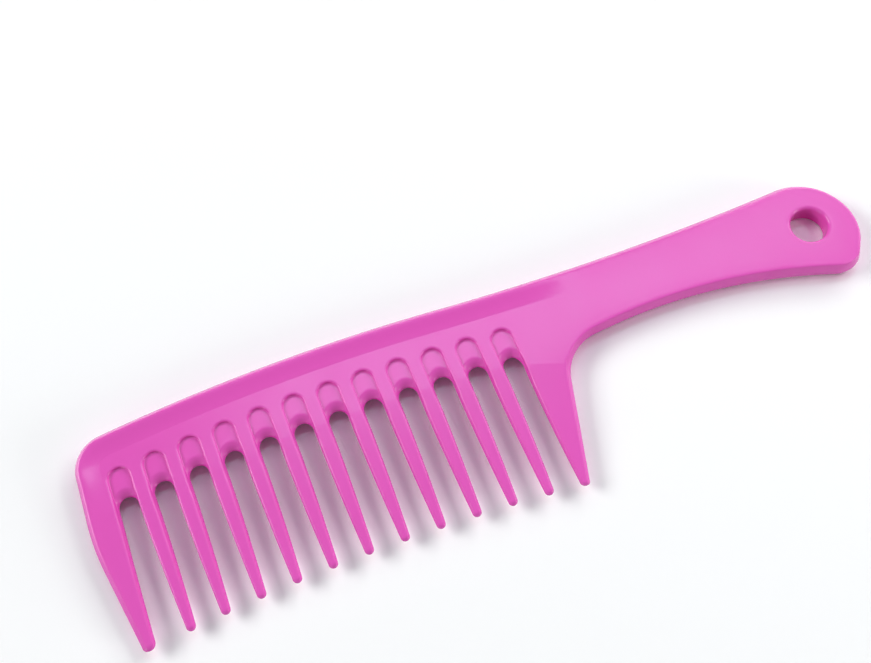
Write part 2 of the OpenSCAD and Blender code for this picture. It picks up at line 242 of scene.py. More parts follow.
def low_y(x):
    """The lower edge of the handle: seam with the guard tooth, notch, then grip."""
    x = np.asarray(x, float)
    notch = notch_centre[1] + np.sqrt(np.maximum(notch_radius ** 2 - (x - notch_x) ** 2, 0))
    grip = grip_centre[1] + np.sqrt(grip_radius ** 2 - (x - waist_x) ** 2)
    return np.where(x < guard_seam[0], seam_y(x), np.where(x < notch_end_x, notch, grip))


def tip_point(tooth):
    x = head_mid + (tooth - (tooth_count + 1) / 2) * tip_pitch
    first = head_mid - (tooth_count - 1) / 2 * tip_pitch
    return np.array([x, -height / 2 + bow(x) - bow(first)])


# Rounding and thickness
def smooth(value):
    held = np.clip(value, 0, 1)
    return held * held * (3 - 2 * held)


def edge(distance, reach, land, roll=edge_roll, drop=roll_drop):
    """Share of the full height at a distance from the outline: land, steep wall, gentle roll."""
    left = reach - np.clip(distance, 0, reach)
    gentle = np.minimum(left / roll, 1) ** 2 + 2 * np.maximum(left / roll - 1, 0)
    wall = np.maximum(left - roll, 0) / (reach - roll)
    wall_drop = 1 - land - drop * (2 * reach / roll - 1)
    return 1 - drop * gentle - wall_drop * wall ** wall_power


def fine_offsets(reach, steps, roll=edge_roll):
    """Distances from the outline, close together where the wall turns over to the face."""
    crease, first = reach - roll, steps // 2
    wall = crease * (1 - np.linspace(1, 0, first, endpoint=False) ** 2)
    return np.concatenate([wall, crease + roll * np.linspace(0, 1, steps + 1 - first)], axis=-1)


def outer_reach(up_page):
    """Reach of an outer edge: wider along the back, narrower along the side of the teeth."""
    return edge_reach + reach_lean * up_page


def rise_to_handle(x):
    return smooth((np.asarray(x, float) - plate_seam_x) / shoulder_length)


def flank(distance, foot):
    """Height share of the rim's flank, softened at its crown and its foot."""
    near_foot = np.clip((distance - rim_crown) / (foot - rim_crown), 0, 1)
    reach = crown_softness + (foot_softness - crown_softness) * near_foot
    total = 0
    for part in np.linspace(-1, 1, softening_samples):
        run = np.clip((foot - distance - part * reach) / (foot - rim_crown), 0, 1)
        total = total + run - flank_hollow_share * 4 * run * (1 - run)
    return total / softening_samples


def face(x, from_back):
    """Half-thickness of the comb away from its edges."""
    rise = rise_to_handle(x)
    slope = flank(from_back, rim_width + rim_spread * rise)
    return half_plate + (half - half_plate) * (1 - (1 - rise) * (1 - slope))


# Meshes: a plan of quads with a height at each point, mirrored about the middle plane
def grid_quads(rows, columns, start=0):
    i, j = np.meshgrid(np.arange(rows - 1), np.arange(columns - 1), indexing="ij")
    corner = start + (i * columns + j).ravel()
    return np.stack([corner, corner + 1, corner + columns + 1, corner + columns], 1)


def counter_clockwise(points, quads):
    """Turns each quad so that it faces up."""
    corners = points[quads][:, :, :2]
    along, across = corners[:, 2] - corners[:, 0], corners[:, 3] - corners[:, 1]
    area = along[:, 0] * across[:, 1] - along[:, 1] * across[:, 0]
    return np.where(area[:, None] < 0, quads[:, ::-1], quads)


def closed_shell(points, quads):
    """Vertices and faces of the solid between the plan's heights and their mirror image."""
    keys = np.round(points * weld_steps_per_mm).astype(np.int64)
    _, first, index = np.unique(keys, axis=0, return_index=True, return_inverse=True)
    top, quads = points[first], index.reshape(-1)[counter_clockwise(points, quads)]
    count = len(top)
    thick = top[:, 2] > least_height
    below = np.arange(count)
    below[thick] = count + np.arange(thick.sum())
    mirrored = top[thick] * [1, 1, -1]
    starts, ends = quads.ravel(), np.roll(quads, -1, axis=1).ravel()
    real = starts != ends
    starts, ends = starts[real], ends[real]
    open_edge = ~np.isin(ends * count + starts, starts * count + ends)
    walls = [(start, below[start], below[end], end)
             for start, end in zip(starts[open_edge], ends[open_edge])]
    faces = list(quads) + list(below[quads[:, ::-1]]) + walls
    kept = []
    for corners in faces:
        ring = [int(corner) for at, corner in enumerate(corners) if corner != corners[at - 1]]
        if len(ring) > 2 and len(set(ring)) == len(ring):
            kept.append(ring)
    return np.vstack([top, mirrored]), kept


def make_piece(name, points, quads, material):
    """A finished comb piece from plan points in millimetres, standing for the node of its name."""
    vertices, faces = closed_shell(points, quads)
    vertices = np.clip((vertices + [0, 0, half]) * MM, *cad_box)
    mesh = bpy.data.meshes.new(name + "_visual")
    mesh.from_pydata(vertices.tolist(), [], faces)
    return finish_piece(name, mesh, material)


def grid_piece(name, rows):
    """A comb piece from rows of plan points and heights, each row with as many points."""
    grid = np.array(rows)
    return make_piece(name, grid.reshape(-1, 3), grid_quads(*grid.shape[:2]), plastic)


def finish_piece(name, mesh, material):
    """Smooths a mesh and makes it the visual piece of the node of its name: attached to the root body,
    with that node's own part hidden.
    """
    mesh.validate()
    for polygon in mesh.polygons:
        polygon.use_smooth = True
    mesh.set_sharp_from_angle(angle=sharp_angle)
    if not mesh.materials:
        mesh.materials.append(material)
    piece = bpy.data.objects.new(name + "_visual", mesh)
    bpy.context.scene.collection.objects.link(piece)
    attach(piece, BODY)
    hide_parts(name)
    return piece


# Node trees
class Number:
    """A number socket. Arithmetic on it adds Math nodes to its tree."""

    def __init__(self, tree, socket):
        self.tree, self.socket = tree, socket

    def math(self, operation, *terms, clamp=False):
        settings = {"operation": operation, "use_clamp": clamp}
        made = self.tree.node("ShaderNodeMath", settings, dict(enumerate(terms)))
        return Number(self.tree, made.outputs[0])

    def __add__(self, other):
        return self.math("ADD", self, other)

    def __radd__(self, other):
        return self.math("ADD", other, self)

    def __sub__(self, other):
        return self.math("SUBTRACT", self, other)

    def __rsub__(self, other):
        return self.math("SUBTRACT", other, self)

    def __mul__(self, other):
        return self.math("MULTIPLY", self, other)

    def __rmul__(self, other):
        return self.math("MULTIPLY", other, self)

    def __truediv__(self, other):
        return self.math("DIVIDE", self, other)

    def __rtruediv__(self, other):
        return self.math("DIVIDE", other, self)

    def __pow__(self, other):
        return self.math("POWER", self, other)

    def __rpow__(self, other):
        return self.math("POWER", other, self)

    def clamped(self):
        return self.math("ADD", self, 0.0, clamp=True)

    def root(self):
        return self.math("SQRT", self.most(0.0))

    def sine(self):
        return self.math("SINE", self)

    def cosine(self):
        return self.math("COSINE", self)

    def size(self):
        return self.math("ABSOLUTE", self)

    def least(self, other):
        return self.math("MINIMUM", self, other)

    def most(self, other):
        return self.math("MAXIMUM", self, other)

    def above(self, other):
        return self.math("GREATER_THAN", self, other)

    def smoothed(self):
        held = self.clamped()
        return held * held * (3.0 - 2.0 * held)


class Tree:
    """A node tree that is built from Python expressions."""

    def __init__(self, tree):
        self.tree = tree

    def node(self, kind, settings=None, values=None):
        """Adds a node: its settings first, then the values or links of its sockets."""
        made = self.tree.nodes.new(kind)
        for name, value in (settings or {}).items():
            setattr(made, name, value)
        for name, value in (values or {}).items():
            plug = made.inputs[name]
            if isinstance(value, Number):
                value = value.socket
            if isinstance(value, bpy.types.NodeSocket):
                self.tree.links.new(value, plug)
            else:
                plug.default_value = value
        return made

    def number(self, socket):
        return Number(self, socket)

    def parts(self, vector):
        """The three numbers of a vector socket."""
        split = self.node("ShaderNodeSeparateXYZ", values={"Vector": vector})
        return [self.number(part) for part in split.outputs]

    def blend(self, share, first, second):
        """A colour between two others, on the Mix node's colour sockets."""
        mix = self.node("ShaderNodeMix", {"data_type": "RGBA"}, {0: share, 6: first, 7: second})
        return mix.outputs[2]


def empty_tree(holder):
    """The cleared node tree of a new material or world."""
    holder.use_nodes = True
    holder.node_tree.nodes.clear()
    return Tree(holder.node_tree)


# Plastic: its two pinks, and its faint patterns with their cells in each metre
deep_pink = (0.74, 0.070, 0.465, 1.0)
pale_pink = (0.79, 0.086, 0.51, 1.0)
cloud_scale, cloud_detail, cloud_share = 28.0, 3.0, 0.9
flow_scale, flow_stretch, flow_share = 60.0, (0.25, 1.0, 1.0), 0.6
grain_scale, grain_roughness = 2600.0, 0.6
ripple_scale = 220.0
handled_scale, handled_detail, handled_roughness = 95.0, 4.0, 0.65
base_roughness, handled_change, grain_change = 0.22, 0.10, 0.05
grain_relief_share = 0.35
relief_strength, relief_depth = 0.12, 0.00012
plastic_ior = 1.49


def comb_plastic():
    """Glossy injection-moulded plastic: faint flow marks, fine grain and light handling."""
    material = bpy.data.materials.new("comb_pink_plastic")
    tree = empty_tree(material)
    place = tree.node("ShaderNodeTexCoord").outputs["Object"]

    def noise(scale, detail=2.0, roughness=0.5, stretch=(1.0, 1.0, 1.0)):
        at = tree.node("ShaderNodeMapping", values={"Vector": place, "Scale": stretch})
        made = tree.node("ShaderNodeTexNoise", values={
            "Vector": at.outputs[0], "Scale": scale, "Detail": detail, "Roughness": roughness})
        return tree.number(made.outputs["Fac"])

    clouds = noise(cloud_scale, cloud_detail)
    flow = noise(flow_scale, stretch=flow_stretch)
    grain = noise(grain_scale, roughness=grain_roughness)
    ripple = noise(ripple_scale, detail=1.0)
    handled = noise(handled_scale, handled_detail, handled_roughness)

    tone = ((clouds - 0.5) * cloud_share + (flow - 0.5) * flow_share + 0.5).clamped()
    rough = base_roughness + (handled - 0.5) * handled_change + (grain - 0.5) * grain_change
    relief = grain * grain_relief_share + ripple * (1 - grain_relief_share)
    bump = tree.node("ShaderNodeBump", values={
        "Strength": relief_strength, "Distance": relief_depth, "Height": relief})
    shader = tree.node("ShaderNodeBsdfPrincipled", values={
        "Base Color": tree.blend(tone, deep_pink, pale_pink), "Roughness": rough,
        "IOR": plastic_ior, "Normal": bump.outputs[0]})
    tree.node("ShaderNodeOutputMaterial", values={"Surface": shader.outputs[0]})
    return material


plastic = comb_plastic()


# Spine: the rim swept along the back, round the front corner and down the front
def rim_path(back_steps, corner_steps, side_steps):
    """Edge points, directions inwards and how much of the rim's rise is left."""
    x = np.linspace(plate_seam_x, corner_x, back_steps)
    back = np.stack([x, back_y(x), 0 * x, 0 * x - 1, 0 * x + 1], 1)
    share = np.linspace(0, 1, corner_steps)
    angle = corner_angle + (math.pi - corner_angle) * share
    out = np.stack([np.cos(angle), np.sin(angle)], 1)
    corner = np.hstack([corner_centre + front_radius * out, -out, (1 - smooth(share) / 2)[:, None]])
    share = np.linspace(0, 1, side_steps + 1)[1:]
    y = corner_centre[1] + (gap_end(1)[1] - corner_centre[1]) * share
    side = np.stack([0 * y + x_front, y, 0 * y + 1, 0 * y, (1 - smooth(share)) / 2], 1)
    return np.vstack([back, corner, side])


def rim_offsets(reach):
    """Rows of distances across the rim, one for each reach of its edge."""
    reach = np.atleast_1d(reach)[:, None]
    slope = np.linspace(rim_crown + crown_row_after, rim_width - foot_row_far, slope_steps)
    inner = np.concatenate([[rim_crown - crown_row_before], slope,
                            [rim_width - foot_row_near, rim_width]])
    return np.hstack([fine_offsets(reach, edge_steps), np.tile(inner, (len(reach), 1))])


def make_spine():
    path = rim_path(back_steps=170, corner_steps=44, side_steps=36)
    reach = outer_reach(-path[:, 3])
    offsets = rim_offsets(reach)
    at = path[:, None, :2] + offsets[:, :, None] * path[:, None, 2:4]
    rise = (half - half_plate) * path[:, 4:5] * flank(offsets, rim_width)
    rise[:, -1] = 0
    z = (half_plate + rise) * edge(offsets, reach[:, None], land_share)
    return grid_piece("spine", np.dstack([at, z]))


# Head plate: one cell round each gap, with an arched channel and a rolled web edge
def wall_rings():
    """The channel's wall as [distance outwards, share of its height], rounded at the top."""
    rings = list(wall_foot)
    for angle in np.linspace(wall_first_turn_share, 1, wall_turns) * math.pi / 2:
        rings.append((wall_lean + wall_rounding * (1 - math.cos(angle)),
                      1 - wall_round_share + wall_round_share * math.sin(angle)))
    return rings + [(wall_lean + wall_rounding + wall_margin, 1.0)]


def ray_to(polyline, origin, way):
    """Nearest point of a polyline along a ray."""
    first, last = polyline[:-1] - origin, polyline[1:] - origin
    step = last - first
    cross = way[0] * step[:, 1] - way[1] * step[:, 0]
    with np.errstate(divide="ignore", invalid="ignore"):
        along = (first[:, 0] * step[:, 1] - first[:, 1] * step[:, 0]) / cross
        on = (first[:, 0] * way[1] - first[:, 1] * way[0]) / cross
    good = (np.abs(cross) > least_cross) & (along > least_run)
    good &= (on > -near_miss) & (on < 1 + near_miss)
    return origin + along[good].min() * np.array(way)


def cell_side(gap, side):
    """Lower corner of a cell on one side, and x of its straight boundary where it has one."""
    end, neighbour = gap_end(gap), gap + side
    if neighbour == 0:
        return np.array([x_front + rim_width, end[1]]), None
    if neighbour > gap_count:
        return np.array([plate_seam_x, seam_y(plate_seam_x)]), plate_seam_x
    middle = (end + gap_end(neighbour)) / 2
    return middle, middle[0]


def cell_stops(corner_way):
    """Places round half a channel: shares up its straight side, then angles round its arch."""
    angles = list(np.linspace(0, math.pi / 2, arch_stops)[1:])
    if corner_way is not None:
        near = int(np.argmin([abs(angle - corner_way) for angle in angles]))
        angles[near] = corner_way
    shares = np.linspace(0, 1, side_stops) ** side_spacing
    return [("side", share) for share in shares] + [("arch", angle) for angle in angles]


def web_profile(ray, channel_at):
    """Radii and heights from the gap's edge, over the web's rolled edge, to the channel's wall."""
    gap_at = gap_width / 2
    roll = half_web + web_end_stretch * ray[1] ** 2
    bevel = 1 + web_end_bevel * ray[1] ** 2
    roll_end = gap_at + roll
    turn = math.acos(max(0.0, 1 - (min(channel_at, roll_end) - gap_at) / roll) ** (1 / bevel))
    rolled, flat = roll * turn, max(0.0, channel_at - roll_end)
    walked = (rolled + flat) * (np.arange(roll_steps + 1) / roll_steps) ** roll_spacing
    angle = np.minimum(walked, rolled) / roll
    on_roll = gap_at + roll * (1 - np.maximum(np.cos(angle), 0) ** bevel)
    radii = np.where(walked <= rolled, on_roll, roll_end + walked - rolled)
    return radii, half_web * np.sin(angle) ** bevel


def channel_row(outline, normal, far):
    """Plan points and heights from the gap's edge, up the channel's wall, to a cell's boundary."""
    channel_at = np.linalg.norm(outline)
    ray = outline / channel_at
    radii, z = web_profile(ray, channel_at)
    local, floor = radii[:, None] * ray, z[-1]
    for out, share in wall_rings():
        local = np.vstack([local, outline + normal * out])
        z = np.append(z, floor + (half_plate - floor) * share)
    top = local[-1]
    for share in (0.5, 1.0):
        local = np.vstack([local, top + (far - top) * share])
        z = np.append(z, half_plate)
    return local, z


def plate_cell(gap, side, inner):
    """Half of a gap's cell as rows of plan points and heights, from the gap's edge outwards."""
    end, radius = gap_end(gap), channel_width / 2
    straight = web_length + gap_width / 2 - radius
    arch = end + [0, straight]
    bottom, x_line = cell_side(gap, side)
    slope = (bottom[1] - end[1]) / (bottom[0] - end[0])
    corner_way = None
    if x_line is not None:
        rise = back_y(x_line) - rim_width - arch[1]
        corner_way = abs(math.atan2(rise, side * (x_line - arch[0])))
    rows = []
    for kind, value in cell_stops(corner_way):
        if kind == "side":
            outline, normal = np.array([radius, value * straight]), np.array([1.0, 0.0])
            far = np.array([abs(bottom[0] - end[0]), value * straight])
            lean, turn = 1 - value, channel_turn * min(1.0, channel_turn_gain * value)
        else:
            normal = np.array([math.cos(value), math.sin(value)])
            outline = [0, straight] + radius * normal
            way = normal * [side, 1]
            if x_line is not None and value <= corner_way + near_miss:
                reach = abs(x_line - end[0]) / normal[0]
                hit = arch + way * reach
            else:
                hit = ray_to(inner, arch, way)
            far = np.array([abs(hit[0] - end[0]), hit[1] - end[1]])
            lean, turn = 0.0, channel_turn
        local, z = channel_row(outline, normal, far)
        turned = turn * np.append(np.ones(len(local) - 2), [0.5, 0.0])
        across, up = side * local[:, 0], local[:, 1]
        x = end[0] + across * np.cos(turned) - up * np.sin(turned)
        y = end[1] + across * np.sin(turned) + up * np.cos(turned)
        rows.append(np.stack([x, y + slope * (x - end[0]) * lean, z], 1))
    return np.array(rows)


def make_head_plate():
    path = rim_path(back_steps=1200, corner_steps=240, side_steps=60)
    inner = path[:, :2] + rim_width * path[:, 2:4]
    points, quads, start = [], [], 0
    for gap in range(1, gap_count + 1):
        for side in (1, -1):
            cell = plate_cell(gap, side, inner)
            points.append(cell.reshape(-1, 3))
            quads.append(grid_quads(cell.shape[0], cell.shape[1], start))
            start += cell.shape[0] * cell.shape[1]
    return make_piece("head_plate", np.vstack(points), np.vstack(quads), plastic)


# Guard teeth
def stepped_side():
    """Profile of the plate beside a gap, as [distance in from the gap, height]: web, then wall."""
    ledge = (channel_width - gap_width) / 2
    turn = math.acos(1 - ledge / half_web)
    profile = [(half_web * (1 - math.cos(angle)), half_web * math.sin(angle))
               for angle in np.linspace(0, turn, ledge_steps)]
    floor = profile[-1][1]
    for out, share in wall_rings():
        profile.append((ledge + out, floor + (half_plate - floor) * share))
    return np.array(profile)


def rounded_side(reach, count):
    """Profile of a tooth's rounded edge with the same number of points."""
    offsets = fine_offsets(reach, count - 2, tooth_roll)
    heights = edge(offsets, reach, tooth_land_share, tooth_roll, tooth_roll_drop)
    return np.vstack([[0.0, 0.0], np.stack([offsets, heights], 1)])


def inner_side(width, fade):
    """Offsets and height shares of a guard's inner side, from the plate's step to a rounded edge."""
    step = stepped_side()
    rounded = rounded_side(min(fine_tooth_reach, width / 2), len(step))
    offsets = step[:, 0] * (1 - fade) + rounded[:, 0] * fade
    lift = step[:, 1] / half_plate * (1 - fade) + rounded[:, 1] * fade
    return offsets[1:], lift[1:]


def guard_row(inner, outer, share, fade, reach):
    """One row of a guard tooth, from its gap over its face to its outer edge."""
    across = outer - inner
    width = np.linalg.norm(across)
    inside, inside_lift = inner_side(width, fade)
    outside = fine_offsets(reach, edge_steps)
    land = land_share + (tooth_land_share - land_share) * share
    middle = np.linspace(inside[-1], width - outside[-1], guard_face_steps)[1:-1]
    offsets = np.concatenate([inside, middle, width - outside[::-1]])
    lift = np.concatenate([inside_lift, middle * 0 + 1, edge(outside, reach, land)[::-1]])
    at = inner + offsets[:, None] * (across / width)
    body = face(at[:, 0], back_y(at[:, 0]) - at[:, 1])
    full = body * (1 - share) + tip_half * share
    return np.vstack([[*inner, 0.0], np.hstack([at, (full * lift)[:, None]])])


def guard_sides(outer, inner_root, tip, radius, side):
    """Rows across a guard tooth, from its root to its last full row."""
    inner_root, inner_tip = np.array(inner_root), tip - [side * radius, 0]
    walk = np.concatenate([[0], np.cumsum(np.linalg.norm(np.diff(outer, axis=0), axis=1))])
    tangent = np.gradient(outer, axis=0)
    up_page = side * tangent[:, 0] / np.linalg.norm(tangent, axis=1)
    rows = []
    for point, share, gone, up in zip(outer, walk / walk[-1], walk, up_page):
        inner = inner_root + (inner_tip - inner_root) * [share ** tooth_taper_power, share]
        reach = outer_reach(up) * (1 - share) + radius * share
        rows.append(guard_row(inner, point, share, smooth(gone / step_fade), reach))
    return rows


def tip_rows(last_row, centre, radius, steps=9):
    """The rounded end below a tooth's last full row, by shrinking that row round its middle."""
    rows = []
    for angle in math.pi / 2 * np.arange(1, steps + 1) / steps:
        row = last_row.copy()
        row[:, :2] = centre + (row[:, :2] - centre) * math.cos(angle) - [0, radius * math.sin(angle)]
        row[:, 2] = row[:, 2] * math.cos(angle)
        rows.append(row)
    return rows


def bent_side(centre, radius, start, end, tip_at, bend_steps=30, run_steps=60):
    """A guard tooth's outer side: a bend, then a straight run to its tip."""
    bend = [on_circle(centre, radius, angle) for angle in np.linspace(start, end, bend_steps)]
    run = [bend[-1] + (tip_at - bend[-1]) * share for share in np.linspace(0, 1, run_steps + 1)[1:]]
    return np.array(bend + run)


def make_front_guard():
    radius = front_tip_width / 2
    tip = tip_point(1) + [front_tip_lead, radius]
    root = np.array([x_front, gap_end(1)[1]])
    away = root - [0, front_bend_drop] - tip
    normal = direction(away) + math.acos(radius / np.linalg.norm(away))
    bend_radius = front_bend_drop / math.tan((normal - math.pi) / 2)
    outer = bent_side(root + [bend_radius, 0], bend_radius, math.pi, normal,
                      on_circle(tip, radius, normal))
    rows = guard_sides(outer, gap_end(1) - [gap_width / 2, 0], tip, radius, -1)
    return grid_piece("front_guard_tooth", rows + tip_rows(rows[-1], tip, radius))


def make_rear_guard():
    radius = rear_tip_width / 2
    tip = tip_point(tooth_count) + [rear_tip_lead, radius]
    away = notch_centre - tip
    normal = direction(away) - math.acos((notch_radius + radius) / np.linalg.norm(away))
    outer = bent_side(notch_centre, notch_radius, guard_seam_angle, normal + math.pi,
                      on_circle(tip, radius, normal))
    inner_x = last_gap[0] + gap_width / 2
    rows = guard_sides(outer, [inner_x, seam_y(inner_x)], tip, radius, 1)
    return grid_piece("rear_guard_tooth", rows + tip_rows(rows[-1], tip, radius))


# Handle and eye
def lower_edge(x, y):
    """Distance in from the handle's lower edge, and the edge's reach there."""
    to_notch = np.hypot(x - notch_centre[0], y - notch_centre[1])
    to_grip = np.hypot(x - grip_centre[0], y - grip_centre[1])
    on_notch = x < notch_end_x
    up_page = np.where(on_notch, (notch_centre[1] - y) / to_notch, (grip_centre[1] - y) / to_grip)
    return np.where(on_notch, to_notch - notch_radius, to_grip - grip_radius), outer_reach(up_page)


def handle_columns(x):
    """Heights up the page across the handle at x, close together at both edges."""
    at = max(x, guard_seam[0])
    foot = float(low_y(at))
    if at < notch_end_x:
        stretch = notch_radius / (foot - notch_centre[1])
    else:
        stretch = grip_radius / (foot - grip_centre[1])
    low = float(low_y(x)) + fine_offsets(float(lower_edge(at, foot)[1]), edge_steps) * stretch
    flank_width = rim_width + rim_spread * rise_to_handle(x) - rim_crown
    shares = np.linspace(*handle_flank_shares, handle_flank_steps)
    offsets = np.concatenate([rim_offsets(outer_reach(1.0))[0, :edge_steps + 2],
                              rim_crown + flank_width * shares])
    high = (float(back_y(x)) - offsets)[::-1]
    between = np.linspace(low[-1], high[0], handle_face_steps)[1:-1]
    return np.concatenate([low, between, high])


def crowned(x, y, z):
    """Lowers the handle's face a little towards its edges."""
    middle, span = (back_y(x) + low_y(x)) / 2, (back_y(x) - low_y(x)) / 2
    away = np.clip(np.abs(y - middle) / np.maximum(span, 1), 0, 1)
    return z - handle_crown * rise_to_handle(x) * away ** 2


def make_handle():
    beside = np.linspace(plate_seam_x, guard_seam[0], beside_steps)[:-1]
    angles = np.linspace(guard_seam_angle, notch_end_angle, notch_steps)[:-1]
    round_notch = notch_x + notch_radius * np.cos(angles)
    along = np.linspace(notch_end_x, eye_seam_x, grip_steps)
    rows = []
    for place in np.concatenate([beside, round_notch, along]):
        y = handle_columns(place)
        x = y * 0 + place
        from_low, low_reach = lower_edge(x, y)
        from_back = back_y(place) - y
        full = crowned(x, y, face(x, from_back))
        lift = np.minimum(edge(from_low, low_reach, land_share),
                          edge(from_back, outer_reach(1.0), land_share))
        rows.append(np.stack([x, y, full * lift], 1))
    return grid_piece("handle", rows)


def eye_outline():
    """The edge of the eye from the seam's lower end round to its upper end."""
    toe_away = np.linalg.norm(toe_centre - eye_centre)
    toe_grip = direction(grip_centre - toe_centre)
    toe_turn = toe_angle + math.acos((eye_radius - toe_radius) / toe_away)
    eye_back = direction(back_centre - eye_centre)
    low_end = toe_centre[0] + toe_radius * math.cos(toe_grip)
    low_x = np.linspace(eye_seam_x, low_end, eye_side_steps)[:-1]
    low = np.stack([low_x, low_y(low_x)], 1)
    toe_angles = np.linspace(toe_grip, toe_turn, toe_steps)
    end_angles = np.linspace(toe_turn, eye_back, eye_end_steps)[1:]
    toe = [on_circle(toe_centre, toe_radius, angle) for angle in toe_angles]
    end = [on_circle(eye_centre, eye_radius, angle) for angle in end_angles]
    back_start = eye_x + eye_radius * math.cos(eye_back)
    back_x = np.linspace(back_start, eye_seam_x, eye_side_steps)[1:]
    back = np.stack([back_x, back_y(back_x)], 1)
    return np.vstack([low, toe, end, back])


def distance_to(polyline, points):
    """Distance from each point to the nearest place on a polyline."""
    best = np.full(len(points), np.inf)
    for start, step in zip(polyline[:-1], np.diff(polyline, axis=0)):
        away = points - start
        share = np.clip((away @ step) / (step @ step), 0, 1)
        best = np.minimum(best, np.hypot(*(away - share[:, None] * step).T))
    return best


def eye_reach(y):
    return outer_reach(np.clip((y - eye_centre[1]) / (eye_lean_share * eye_radius), -1, 1))


def eye_row(point, lip_at, lip_drop):
    """Plan points from the hole's lip out to a point of the rim, with their drop at the lip."""
    away = point - hole_centre
    reach = np.linalg.norm(away)
    row_reach = float(eye_reach(point[1])) * eye_row_stretch
    outer = reach - fine_offsets(row_reach, eye_edge_steps)[::-1]
    middle = np.linspace(lip_at[-1], outer[0], eye_face_steps)[1:-1]
    radii = np.concatenate([lip_at, middle, outer])
    drop = np.concatenate([lip_drop, np.zeros(len(radii) - len(lip_drop))])
    return np.hstack([hole_centre + radii[:, None] * (away / reach), drop[:, None]])


def make_hang_eye():
    outline, columns = eye_outline(), handle_columns(eye_seam_x)
    seam = np.stack([columns * 0 + eye_seam_x, columns], 1)
    beyond = eye_seam_x - seam_overrun
    extended = np.vstack([[beyond, float(low_y(beyond))], outline, [beyond, float(back_y(beyond))]])
    lip_angles = np.linspace(0, math.pi / 2, lip_steps)
    lip_at = hole_radius + hole_lip * (1 - np.cos(lip_angles))
    lip_drop = -hole_lip * (1 - np.sin(lip_angles))
    rim = np.vstack([outline, seam[::-1][1:-1]])
    rows = [eye_row(point, lip_at, lip_drop) for point in rim]
    grid = np.array(rows + rows[:1])
    x, y, drop = grid[..., 0], grid[..., 1], grid[..., 2]
    inside = distance_to(extended, grid[..., :2].reshape(-1, 2)).reshape(x.shape)
    crown = handle_crown * np.clip(1 - inside / handle_crown_span, 0, 1) ** 2
    full = face(x, back_y(x) - y) - crown
    z = full * edge(inside, eye_reach(y), land_share) + drop
    return grid_piece("hang_eye", np.dstack([x, y, z]))


# Inner teeth: one Geometry Nodes tree, run once for each tooth
tooth_sizes = ["Root Width", "Root Tilt", "Tip Width", "Root Half Thickness", "Tip Half Thickness",
               "Mid Height", "Edge Reach", "Edge Land", "Taper Power", "Ledge", "Web Radius",
               "Step Fade", "Wall Rounding", "Wall Round Share", "Edge Roll", "Roll Drop",
               "Wall Power"]


def rounded_section(size, half_width, half_height, land, wall):
    """How far in and how far up a section with rolled edges is, away from the plate."""
    reach = size["Edge Reach"].least(half_width)
    roll, left = size["Edge Roll"], reach * (1.0 - wall)
    gentle = (left / roll).least(1.0) ** 2.0 + (left / roll - 1.0).most(0.0) * 2.0
    wall_drop = 1.0 - size["Edge Land"] - size["Roll Drop"] * (reach * 2.0 / roll - 1.0)
    up_wall = (left - roll).most(0.0) / (reach - roll)
    fallen = size["Roll Drop"] * gentle + wall_drop * up_wall ** size["Wall Power"]
    return reach * wall, half_height * (1.0 - fallen - size["Edge Land"] * (1.0 - land))


def stepped_section(size, half_height, land, wall):
    """The same for a section beside a gap: the web's roll, then the channel's rounded wall."""
    web = size["Web Radius"]
    roll_height = (web ** 2.0 - (web - size["Ledge"]) ** 2.0).root()
    low = roll_height * land
    roll_in = web - (web ** 2.0 - low ** 2.0).root()
    upright = (wall / stepped_wall_share).clamped()
    cap = ((wall - stepped_wall_share) / (1 - stepped_wall_share)).clamped() * (math.pi / 2)
    inward = roll_in + wall_lean * MM * upright + size["Wall Rounding"] * (1.0 - cap.cosine())
    climb = (1.0 - size["Wall Round Share"]) * upright + size["Wall Round Share"] * cap.sine()
    return inward, low + (half_height - roll_height) * climb


def tooth_section(size, down_body, turn):
    """Distance from the tooth's middle line and from its middle plane, at a turn round it."""
    land = (turn / land_end).clamped()
    wall = ((turn - land_end) / (face_start - land_end)).clamped()
    top = ((turn - face_start) / (1 - face_start)).clamped()
    root_half, end_half = size["Root Half Thickness"], size["Tip Half Thickness"]
    half_height = root_half + (end_half - root_half) * down_body
    taper = down_body ** size["Taper Power"]
    half_width = (size["Root Width"] + (size["Tip Width"] - size["Root Width"]) * taper) * 0.5
    round_in, round_up = rounded_section(size, half_width, half_height, land, wall)
    step_in, step_up = stepped_section(size, half_height, land, wall)
    fade = 1.0 - (down_body * size["Step Fade"]).smoothed()
    inward = round_in + (step_in - round_in) * fade
    upward = round_up + (step_up - round_up) * fade
    return (half_width - inward) * (1.0 - top), upward


def tooth_sockets(group):
    """Adds the tree's output and named inputs, and gives the inputs' identifiers."""
    group.interface.new_socket("Geometry", in_out="OUTPUT", socket_type="NodeSocketGeometry")
    kinds = {"Root": "NodeSocketVector", "Tip": "NodeSocketVector", "Material": "NodeSocketMaterial"}
    kinds.update((name, "NodeSocketFloat") for name in tooth_sizes)
    identifiers = {}
    for name, kind in kinds.items():
        socket = group.interface.new_socket(name, in_out="INPUT", socket_type=kind)
        identifiers[name] = socket.identifier
    return identifiers


